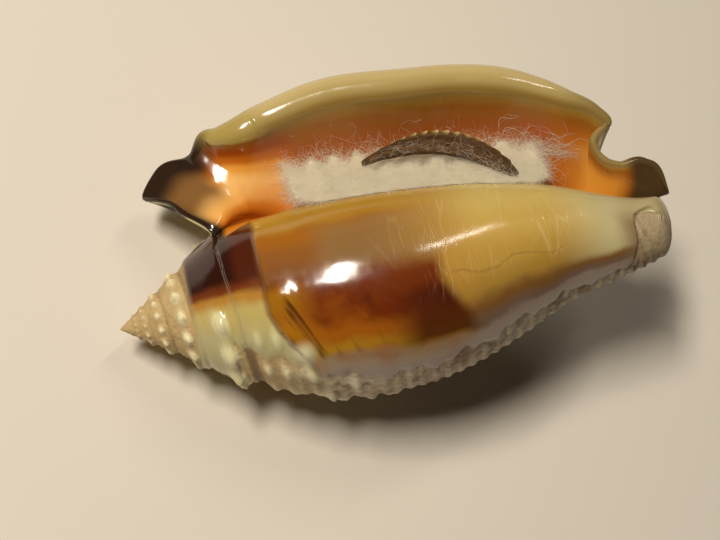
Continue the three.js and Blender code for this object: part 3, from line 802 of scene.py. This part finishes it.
def operculum_material(look):
    """Dark grained horn, dusty toward its inner edge, with pale teeth."""
    material, paint, shader = new_material("Operculum horn")
    across, tooth = paint.value("across"), paint.value("tooth")
    grain = paint.noise(900, 5, 0.65, 0.4, where=paint.place(stretch=(0.35, 2.2, 1)))
    base = paint.mix(paint.range(grain, 0.3, 0.72), look.operculum, HORN_LIGHT)
    dust = paint.both(mottle(paint, 1400, 0.44, 0.12), paint.range(across, 0.45, -0.5))
    base = paint.over(base, DUST, dust, 0.4)
    base = paint.over(base, HORN_EDGE, paint.range(across, 0.5, 0.95), 0.35)
    base = paint.over(base, TOOTH, paint.range(tooth, 0.15, 0.7), 0.8)
    paint.put(shader.inputs["Base Color"], base)
    paint.put(shader.inputs["Roughness"], paint.range(grain, 0.2, 0.8, 0.38, 0.62))
    paint.put(shader.inputs["Normal"], paint.raised(paint.plus(grain, paint.both(dust, 0.4)), 0.00025, 0.9))
    shader.inputs["Specular IOR Level"].default_value = 0.2
    return material


def build_shell(sizes, look):
    """The shell as one closed skin, nowhere under the table."""
    around = sizes.around
    loops, values = shell_loops(
        spaced(STATIONS, sizes.stations), around, around // 8, around // 3, RIM_POINTS, sizes.cord,
    )
    vertices = lying(loops.reshape(-1, 3))
    vertices[:, 2] = np.maximum(vertices[:, 2], 0)
    piece = new_piece("shell_glaze", vertices, grid_faces(*loops.shape[:2]), values)
    dress(piece, "shell", shell_material(look))


def off_lip(a, v, gap):
    """Places a gap above the inside of the lip."""
    at, normal, _, half = lip(a, v)
    return at - normal * (half + gap)


def off_wall(a, angle):
    """Places a small gap off the wall of the columella."""
    return place_round(a, columella(a, angle) + CALLUS * glaze(a, angle - 2 * np.pi) + GAP, angle)


def wad_border(a):
    """How far up the lip the wad reaches."""
    return COTTON["lip"] * (0.93 + 0.07 * np.sin(2.1 * a))


def wad_top(a, f):
    """Places on the wad's lumpy top, share f across it from the lip to the wall, and its two borders."""
    by_lip, by_wall = off_lip(a, wad_border(a), GAP), off_wall(a, math.radians(COTTON["wall"]) + 0 * a)
    lumps = 0.25 * np.sin(1.3 * a + 5 * f) + 0.2 * np.sin(2.9 * a - 7 * f)
    place = by_lip * (1 - f[..., None]) + by_wall * f[..., None]
    place[..., 2] += 4 * f * (1 - f) * (along(COTTON_RISE, a) + lumps)
    return place, by_lip, by_wall


def wad_station(share):
    return COTTON["from"] + (COTTON["to"] - COTTON["from"]) * share


def wad_open(share):
    """How full the wad is at a share of its length: blunt at both ends."""
    return np.sqrt(np.clip(1 - (2 * share - 1) ** 8, 0, 1))


def wad_sections(share):
    """Sections of the wad at shares of its length: down the lip's side and up along the wall."""
    a = wad_station(share)[:, None]
    start, border, wall = np.radians(along(LIP_START, a)), wad_border(a), math.radians(COTTON["wall"])
    t = np.linspace(0, 1, 17)[None, 1:]
    v = border + (COTTON["deep"] - border) * t
    angle = wall + (start + math.radians(14) - wall) * t
    near, far = np.linspace(0.5, 0, 12)[None], np.linspace(0.5, 1, 12)[None]
    lip_side, wall_side = off_lip(a + 0 * v, v, GAP), off_wall(a, angle)[:, ::-1]
    return np.concatenate([wad_top(a, near)[0], lip_side, wall_side, wad_top(a, far[:, :0:-1])[0]], 1)


def top_places(share, f):
    """Places on the wad's top, one for each share along it and f across it."""
    place, by_lip, by_wall = wad_top(wad_station(share), f)
    middle = place * 0.5 + (by_lip + by_wall) / 4
    return middle + (place - middle) * wad_open(share)[:, None]


def curled(chance, count, length):
    """Short curled lines round the origin, in millimetres."""
    heading = chance.uniform(0, 2 * np.pi, count)[:, None]
    curl = chance.normal(0, 1.8, count)[:, None]
    sway = chance.uniform(0, 2 * np.pi, count)[:, None]
    long = (length * chance.gamma(4.0, 0.25, count))[:, None]
    t = np.linspace(0, 1, CURL_POINTS)[None, :]
    direction = heading + 2 * curl * (t - 0.5) + 0.6 * np.sin(5 * t + sway)
    x = np.cumsum(np.cos(direction), 1) * long / (CURL_POINTS - 1)
    y = np.cumsum(np.sin(direction), 1) * long / (CURL_POINTS - 1)
    z = np.sin(sway + 4 * t) * 0.25 * long
    line = np.stack([x, y, z], -1)
    return line - line[:, [CURL_POINTS // 2]]


def layer_lines(chance, count, layer):
    """Fibres over the wad's top, each layer a little higher."""
    places = top_places(chance.beta(1.1, 1.1, count), chance.uniform(0.0, 1.0, count) ** 0.9)
    shape = curled(chance, count, 2.2)
    lift = 0.02 + 0.16 * layer + 0.3 * chance.uniform(0, 1, count) ** 2
    line = places[:, None, :] + shape
    line[..., 2] = (places[:, 2] + lift)[:, None] + 0.35 * shape[..., 2] + 0.1 * np.minimum(shape[..., 1], 0)
    return line


def fringe_lines(chance, count):
    """Fibres that lie on the lip round the wad's upper border and past its two ends."""
    spread = 0.8 * chance.gamma(1.3, 0.8, count)
    pick = chance.uniform(0, 1, count)
    left, right = pick < 0.22, pick > 0.9
    a0 = np.where(left, 24.6 - spread, np.where(right, 54.6 + spread, chance.uniform(24.0, 58.0, count)))
    by_left, by_right = chance.uniform(0.22, 0.6, count), chance.uniform(0.3, 0.6, count)
    v0 = np.where(left, by_left, np.where(right, by_right, 0.49 + 0.07 * spread))
    shape = curled(chance, count, 1.8)
    a = np.clip(a0[:, None] + shape[..., 0], 21, 62)
    v = np.clip(v0[:, None] + shape[..., 1] / 16, 0.1, 0.85)
    return off_lip(a, v, LOOSE) + np.array([0, 0, 1]) * (0.02 + 0.25 * np.abs(shape[..., 2:]))


def sickle_lines(chance, count):
    """A few fibres on the operculum."""
    shape = curled(chance, count, 2.0)
    s, w = chance.uniform(-0.8, 0.85, count)[:, None], chance.uniform(-1.2, 0.15, count)[:, None]
    return on_sickle(s + shape[..., 0] / 9, w + shape[..., 1] / 1.7, 0.62 + 0.3 * np.abs(shape[..., 2]))


def stray_lines(chance):
    """Single fibres on the orange inside of the lip: a fork and a hook past the wad's end, and short ones."""
    t = np.linspace(0, 1, 9)
    lines = []
    for places in LONG_STRAYS:
        a, v = np.array(places).T
        way = np.linspace(0, 1, len(a))
        lines.append(off_lip(np.interp(t, way, a), np.interp(t, way, v), LOOSE))
    for n in range(END_STRAYS):
        a0, v0 = chance.uniform(50, 57.5), chance.uniform(0.42, 0.68)
        reach, rise = chance.uniform(1, 3.5), chance.normal(0.02, 0.08)
        a = np.clip(a0 + reach * t + 0.4 * np.sin(5 * t + n), 25, 62)
        v = np.clip(v0 + rise * t + 0.03 * np.sin(7 * t + 2 * n), 0.1, 0.8)
        lines.append(off_lip(a, v, LOOSE))
    for n in range(BORDER_STRAYS):
        a0, v0 = chance.uniform(25, 52), chance.uniform(0.55, 0.62)
        a = a0 + chance.uniform(-2, 2) * t
        v = v0 + chance.uniform(0.02, 0.12) * t + 0.02 * np.sin(5 * t + n)
        lines.append(off_lip(a, v, LOOSE))
    return np.stack(lines)


def add_fibres(name, line, thick, material):
    """One mesh of thin three-sided tubes along lines of points, all in millimetres."""
    count, steps = line.shape[:2]
    run = unit(np.gradient(line, axis=1))
    side = unit(np.cross(run, np.array([0.1, 0.2, 1.0])))
    other = np.cross(run, side)
    taper = (0.35 + 0.65 * np.sin(np.pi * np.linspace(0.08, 0.92, steps)))[None, :, None]
    corner = 2 * np.pi * np.arange(3) / 3
    ring = [line + (side * np.cos(c) + other * np.sin(c)) * thick[:, None, None] * taper for c in corner]
    points = np.stack(ring, 2).reshape(-1, 3)
    j, k = np.meshgrid(np.arange(steps - 1), np.arange(3), indexing="ij")
    after = (k + 1) % 3
    quad = np.stack([j * 3 + k, (j + 1) * 3 + k, (j + 1) * 3 + after, j * 3 + after], -1).reshape(-1, 4)
    first = (np.arange(count) * steps * 3)[:, None]
    sides = (quad[None] + first[..., None]).reshape(-1, 4).tolist()
    ends = (first + np.array([0, 1, 2])).tolist() + (first + (steps - 1) * 3 + np.array([2, 1, 0])).tolist()
    piece = new_piece(name, lying(points), sides + ends, weld=False)
    dress(piece, "cotton", material)


def build_cotton(sizes, look):
    """A soft wad under layers of fine curled fibres, with a fringe on the lip and a few strays."""
    share = (1 - np.cos(np.linspace(0, np.pi, 90))) / 2
    loops = closing(wad_sections(share), wad_open(share))
    x, y, z = loops[..., 0], loops[..., 1], loops[..., 2]
    lump = ripple(x, y, z, 1.3) + 0.4 * ripple(x, y, z, 3.1)
    count = loops.shape[1]
    up = np.clip(1 - np.minimum(np.arange(count), count - np.arange(count)) / 14, 0, 1)
    loops[..., 2] += 0.2 * lump * up[None, :]
    wad = new_piece("cotton_wad", lying(loops.reshape(-1, 3)), grid_faces(*loops.shape[:2]))
    material = cotton_material(look)
    dress(wad, "cotton", material)

    chance = np.random.default_rng(SEED)
    for layer in range(sizes.layers):
        line = layer_lines(chance, sizes.fibres, layer)
        add_fibres(f"cotton_fibres_{layer + 1}", line, chance.uniform(0.008, 0.017, len(line)), material)
    line = fringe_lines(chance, sizes.fibres // 2)
    add_fibres("cotton_fringe", line, chance.uniform(0.007, 0.013, len(line)), material)
    line = sickle_lines(chance, sizes.fibres // 64)
    add_fibres("cotton_on_operculum", line, chance.uniform(0.007, 0.012, len(line)), material)
    line = stray_lines(chance)
    add_fibres("cotton_strays", line, chance.uniform(0.014, 0.022, len(line)), material)


def sickle_half(s):
    """Half the sickle's width at share s along it, from -1 to 1."""
    return SICKLE["wide"] / 2 * np.sqrt(np.clip(1 - s ** 4, 0, 1)) * (0.95 + 0.25 * s - 0.25 * s * s)


def on_sickle(s, w, lift):
    """Places in the shell's frame at share s along the sickle and w across it, both from -1 to 1."""
    x = s * SICKLE["length"] / 2
    y = SICKLE["bow"] * (0.45 - s * s) + w * sickle_half(np.clip(s, -1, 1))
    z = 0.5 - 0.7 * s * s + lift
    turn = np.array(SICKLE_TURN.to_matrix())
    return np.stack([x, y, z + 0 * x], -1) @ turn.T + np.array(SICKLE_AT)


def build_operculum(look):
    """A flat grid pulled into a sickle with saw teeth on its outer edge, then given its thickness."""
    bpy.ops.object.select_all(action="DESELECT")
    columns, rows = SICKLE["grid"]
    bpy.ops.mesh.primitive_grid_add(x_subdivisions=columns, y_subdivisions=rows, size=2, location=(0, 0, 0))
    piece = bpy.context.active_object
    piece.name = piece.data.name = "operculum_sickle"
    flat = np.empty(len(piece.data.vertices) * 3)
    piece.data.vertices.foreach_get("co", flat)
    s, w = flat[0::3], flat[1::3]
    phase = (s + 0.9) / 1.8 * SICKLE["teeth"]
    saw = np.where(np.abs(s) < 0.9, (phase % 1) ** 1.3, 0) * (1 - 0.5 * np.abs(s))
    tooth = SICKLE["tooth"] * saw * np.clip(w, 0, 1) ** 2.2
    relief = 0.16 * (1 - w * w) + 0.05 * np.sin(9 * w + 3 * s) + 0.03 * np.sin(31 * s)
    out = np.array(SICKLE_TURN.to_matrix()) @ np.array([0.35, 1, 0])
    placed = lying(on_sickle(s, w, relief) + tooth[:, None] * out)
    piece.data.vertices.foreach_set("co", placed.ravel())
    set_fields(piece.data, {"across": np.clip(w, -1, 1), "tooth": saw * np.clip(w, 0, 1) ** 3})
    piece.data.update()
    only(piece)
    blade = piece.modifiers.new("Thickness", "SOLIDIFY")
    blade.thickness, blade.offset = SICKLE["thick"] / 1000, 0
    bpy.ops.object.modifier_apply(modifier=blade.name)
    softened = piece.modifiers.new("Rounded edge", "BEVEL")
    softened.width, softened.segments, softened.limit_method = SICKLE["round"] / 1000, 2, "ANGLE"
    softened.angle_limit = math.radians(50)
    bpy.ops.object.modifier_apply(modifier=softened.name)
    face_outward(piece)
    bpy.ops.object.shade_smooth_by_angle(angle=math.radians(40))
    dress(piece, "operculum", operculum_material(look))


def add_table(look):
    """A plain pale sheet under the shell."""
    bpy.ops.object.select_all(action="DESELECT")
    bpy.ops.mesh.primitive_plane_add(size=TABLE_SIZE, location=(0, 0, 0))
    table = bpy.context.active_object
    table.name = "table"
    material, paint, shader = new_material("Table paper")
    shaded = tuple(0.97 * c for c in look.table)
    paint.put(shader.inputs["Base Color"], paint.mix(paint.noise(12, 3), look.table, shaded))
    shader.inputs["Roughness"].default_value = 0.9
    shader.inputs["Specular IOR Level"].default_value = 0.2
    table.data.materials.append(material)


def add_camera():
    """The camera looks at the shell as the photograph does; its angles are in the shell's own frame."""
    aimed = Vector(lying(np.array(VIEW["target"])))
    rise, swing = math.radians(VIEW["rise"]), math.radians(VIEW["swing"])
    back = np.array([math.sin(swing) * math.cos(rise), -math.cos(swing) * math.cos(rise), math.sin(rise)])
    right = np.cross((0.0, 0.0, 1.0), back)
    right /= np.linalg.norm(right)
    upward = np.cross(back, right)
    origin = lying(np.zeros(3))
    axes = [Vector(lying(axis * 1000.0) - origin) for axis in (right, upward, back)]
    lens = bpy.data.cameras.new("view")
    lens.lens, lens.sensor_width, lens.clip_start = VIEW["lens"], VIEW["sensor"], 0.01
    lens.shift_x, lens.shift_y = VIEW["shift"]
    camera = bpy.data.objects.new("view", lens)
    bpy.context.collection.objects.link(camera)
    turn = Matrix(axes).transposed().to_4x4()
    camera.matrix_world = Matrix.Translation(aimed + axes[2] * VIEW["distance"]) @ turn
    bpy.context.scene.camera = camera


def add_lamps():
    """A warm soft lamp from the upper left, a narrow fill on the right, and a faint even light."""
    for name, place, size, power, roll in LAMPS:
        light = bpy.data.lights.new(name, "AREA")
        light.shape, light.energy, light.color = "RECTANGLE", power, LAMP_COLOUR
        light.size, light.size_y = size
        lamp = bpy.data.objects.new(name, light)
        bpy.context.collection.objects.link(lamp)
        lamp.location, lamp.rotation_mode = place, "QUATERNION"
        facing = (lamp.location - LIT_PLACE).to_track_quat("Z", "Y")
        lamp.rotation_quaternion = facing @ Quaternion((0, 0, 1), math.radians(roll))
    world = bpy.data.worlds.new("even light")
    world.use_nodes = True
    sky = world.node_tree.nodes["Background"].inputs
    sky["Color"].default_value, sky["Strength"].default_value = (1.0, 0.93, 0.84, 1), 0.015
    bpy.context.scene.world = world


def build_stage(look):
    add_table(look)
    add_camera()
    add_lamps()
    bpy.context.scene.view_settings.view_transform = "Standard"
    bpy.context.scene.view_settings.look = "None"


class ConchSizes(bpy.types.PropertyGroup):
    stations: bpy.props.IntProperty(
        name="Stations", description="Sections along the shell", default=340, min=60, max=400)
    around: bpy.props.IntProperty(
        name="Around", description="Points round the outside of a section", default=84, min=20, max=100)
    cord: bpy.props.FloatProperty(
        name="Cords", description="Height of the spiral cords in millimetres", default=0.22, min=0, max=1)
    fibres: bpy.props.IntProperty(
        name="Fibres", description="Loose fibres in a layer of the cotton wool",
        default=5000, min=0, max=5200)
    layers: bpy.props.IntProperty(
        name="Layers", description="Layers of loose fibres", default=3, min=1, max=4)


class ConchLook(bpy.types.PropertyGroup):
    back_light: bpy.props.FloatVectorProperty(
        name="Back", description="Light ground of the back", subtype="COLOR", size=3,
        default=(0.62, 0.51, 0.35))
    back_brown: bpy.props.FloatVectorProperty(
        name="Back blotches", description="Brown blotches of the back", subtype="COLOR", size=3,
        default=(0.30, 0.17, 0.08))
    cotton: bpy.props.FloatVectorProperty(
        name="Cotton", description="Shaded part of the cotton wool", subtype="COLOR", size=3,
        default=(0.88, 0.78, 0.58))
    operculum: bpy.props.FloatVectorProperty(
        name="Operculum", description="Dark horn of the operculum", subtype="COLOR", size=3,
        default=(0.036, 0.015, 0.005))
    table: bpy.props.FloatVectorProperty(
        name="Table", description="Paper under the shell", subtype="COLOR", size=3,
        default=(0.78, 0.72, 0.63))


class CONCH_OT_shell(bpy.types.Operator):
    """Build the shell with its sculpture and glaze"""
    bl_idname, bl_label = "conch.shell", "Shell"

    def execute(self, context):
        build_shell(context.scene.conch_sizes, context.scene.conch_look)
        return {"FINISHED"}


class CONCH_OT_cotton(bpy.types.Operator):
    """Build the cotton wool and its loose fibres"""
    bl_idname, bl_label = "conch.cotton", "Cotton wool"

    def execute(self, context):
        build_cotton(context.scene.conch_sizes, context.scene.conch_look)
        return {"FINISHED"}


class CONCH_OT_operculum(bpy.types.Operator):
    """Build the saw-edged operculum"""
    bl_idname, bl_label = "conch.operculum", "Operculum"

    def execute(self, context):
        build_operculum(context.scene.conch_look)
        return {"FINISHED"}


class CONCH_OT_stage(bpy.types.Operator):
    """Build the table, the lamps and the camera"""
    bl_idname, bl_label = "conch.stage", "Stage"

    def execute(self, context):
        build_stage(context.scene.conch_look)
        return {"FINISHED"}


class VIEW3D_PT_conch(bpy.types.Panel):
    bl_label, bl_space_type, bl_region_type, bl_category = "Conch", "VIEW_3D", "UI", "Conch"

    def draw(self, context):
        for group in (context.scene.conch_sizes, context.scene.conch_look):
            for key in group.__annotations__:
                self.layout.prop(group, key)
        for operator in OPERATORS:
            self.layout.operator(operator.bl_idname)


OPERATORS = (CONCH_OT_stage, CONCH_OT_shell, CONCH_OT_cotton, CONCH_OT_operculum)
CLASSES = (ConchSizes, ConchLook, *OPERATORS, VIEW3D_PT_conch)


def register():
    for cls in CLASSES:
        bpy.utils.register_class(cls)
    bpy.types.Scene.conch_sizes = bpy.props.PointerProperty(type=ConchSizes)
    bpy.types.Scene.conch_look = bpy.props.PointerProperty(type=ConchLook)


def unregister():
    del bpy.types.Scene.conch_sizes, bpy.types.Scene.conch_look
    for cls in reversed(CLASSES):
        bpy.utils.unregister_class(cls)


def main():
    register()
    bpy.ops.conch.stage()
    bpy.ops.conch.shell()
    bpy.ops.conch.cotton()
    bpy.ops.conch.operculum()


if __name__ == "__main__":
    main()
